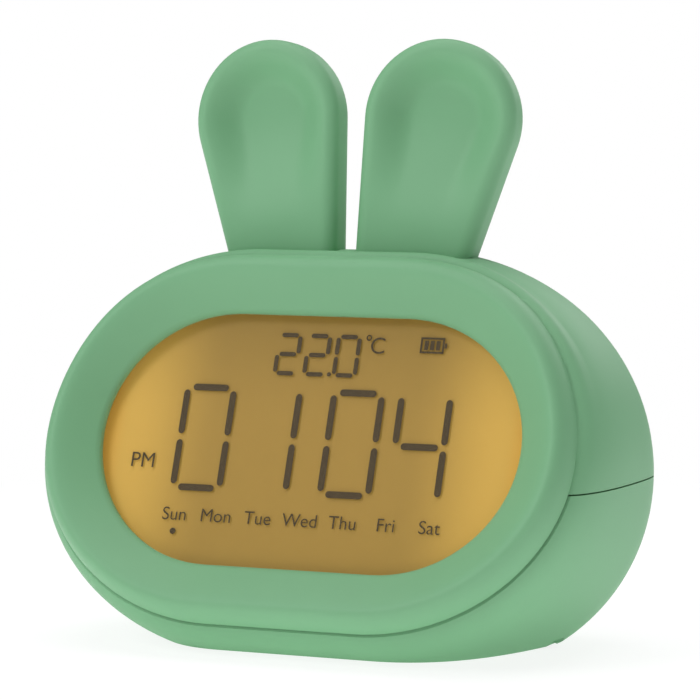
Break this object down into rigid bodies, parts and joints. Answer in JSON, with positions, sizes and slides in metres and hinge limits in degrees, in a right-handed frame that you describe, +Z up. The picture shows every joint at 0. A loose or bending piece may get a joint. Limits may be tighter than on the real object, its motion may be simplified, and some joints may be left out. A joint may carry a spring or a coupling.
{
  "type": "kids alarm clock",
  "caption": "Tabletop alarm clock and night light with a leaning oval back-lit display, two dished ears, push buttons and a slide switch behind.",
  "frame": {"origin": "middle of the footprint, on the surface that the feet stand on", "axes": "+Z up, the display faces -Y, +X to the viewer's right"},
  "size_m": [0.1282, 0.0697, 0.1276],
  "materials": {
    "shell_green": "soft matte moulded plastic",
    "window_clear": "clear cover, satin",
    "display_glass": "display glass",
    "diffuser": "amber lit film",
    "guide": "clear acrylic",
    "white_plastic": "white moulded plastic",
    "board_green": "circuit board",
    "black_plastic": "black moulded plastic",
    "steel": "plated steel",
    "film": "polyimide film",
    "rubber_dark": "soft rubber",
    "lamp": "amber lamp",
    "cell_wrap": "shrink wrap"
  },
  "bodies": {
    "housing": {"upper_housing": "shell_green", "lower_housing": "shell_green", "left_ear": "shell_green", "right_ear": "shell_green", "left_ear_back": "shell_green", "right_ear_back": "shell_green", "ear_screws": "steel", "display_window": "window_clear", "lcd_panel": "display_glass", "diffuser_sheet": "diffuser", "light_guide": "guide", "reflector_sheet": "white_plastic", "lamp_boards": "board_green", "side_lamps": "lamp", "display_frame": "white_plastic", "display_flex": "film", "main_board": "board_green", "controller_chip": "black_plastic", "crystal": "steel", "capacitors": "steel", "wire_sockets": "white_plastic", "tap_sensor": "steel", "temperature_sensor": "black_plastic", "push_switches": "steel", "button_board": "board_green", "speaker_gasket": "rubber_dark", "speaker_frame": "steel", "speaker_cone": "film", "speaker_magnet": "steel", "battery_cell": "cell_wrap", "battery_strap": "steel", "socket_board": "board_green", "charge_socket": "steel", "slide_switch": "steel", "rubber_feet": "rubber_dark", "housing_screws": "steel"},
    "alarm_push": {"alarm_button": "shell_green", "alarm_plunger": "black_plastic"},
    "down_push": {"down_button": "shell_green", "down_plunger": "black_plastic"},
    "up_push": {"up_button": "shell_green", "up_plunger": "black_plastic"},
    "light_push": {"light_button": "shell_green", "light_plunger": "black_plastic"},
    "slide_knob": {"switch_knob": "black_plastic"}
  },
  "joints": [
    {"name": "alarm_press", "type": "slide", "parent": "housing", "child": "alarm_push", "axis": [0, -1, 0], "range_m": [0, 0.0008], "stiffness_N_per_m": 600, "springref_m": -0.0008},
    {"name": "down_press", "type": "slide", "parent": "housing", "child": "down_push", "axis": [0, -1, 0], "range_m": [0, 0.0008], "stiffness_N_per_m": 600, "springref_m": -0.0008},
    {"name": "up_press", "type": "slide", "parent": "housing", "child": "up_push", "axis": [0, -1, 0], "range_m": [0, 0.0008], "stiffness_N_per_m": 600, "springref_m": -0.0008},
    {"name": "light_press", "type": "slide", "parent": "housing", "child": "light_push", "axis": [0, -1, 0], "range_m": [0, 0.0008], "stiffness_N_per_m": 600, "springref_m": -0.0008},
    {"name": "power_slide", "type": "slide", "parent": "housing", "child": "slide_knob", "axis": [1, 0, 0], "range_m": [0, 0.003]}
  ]
}
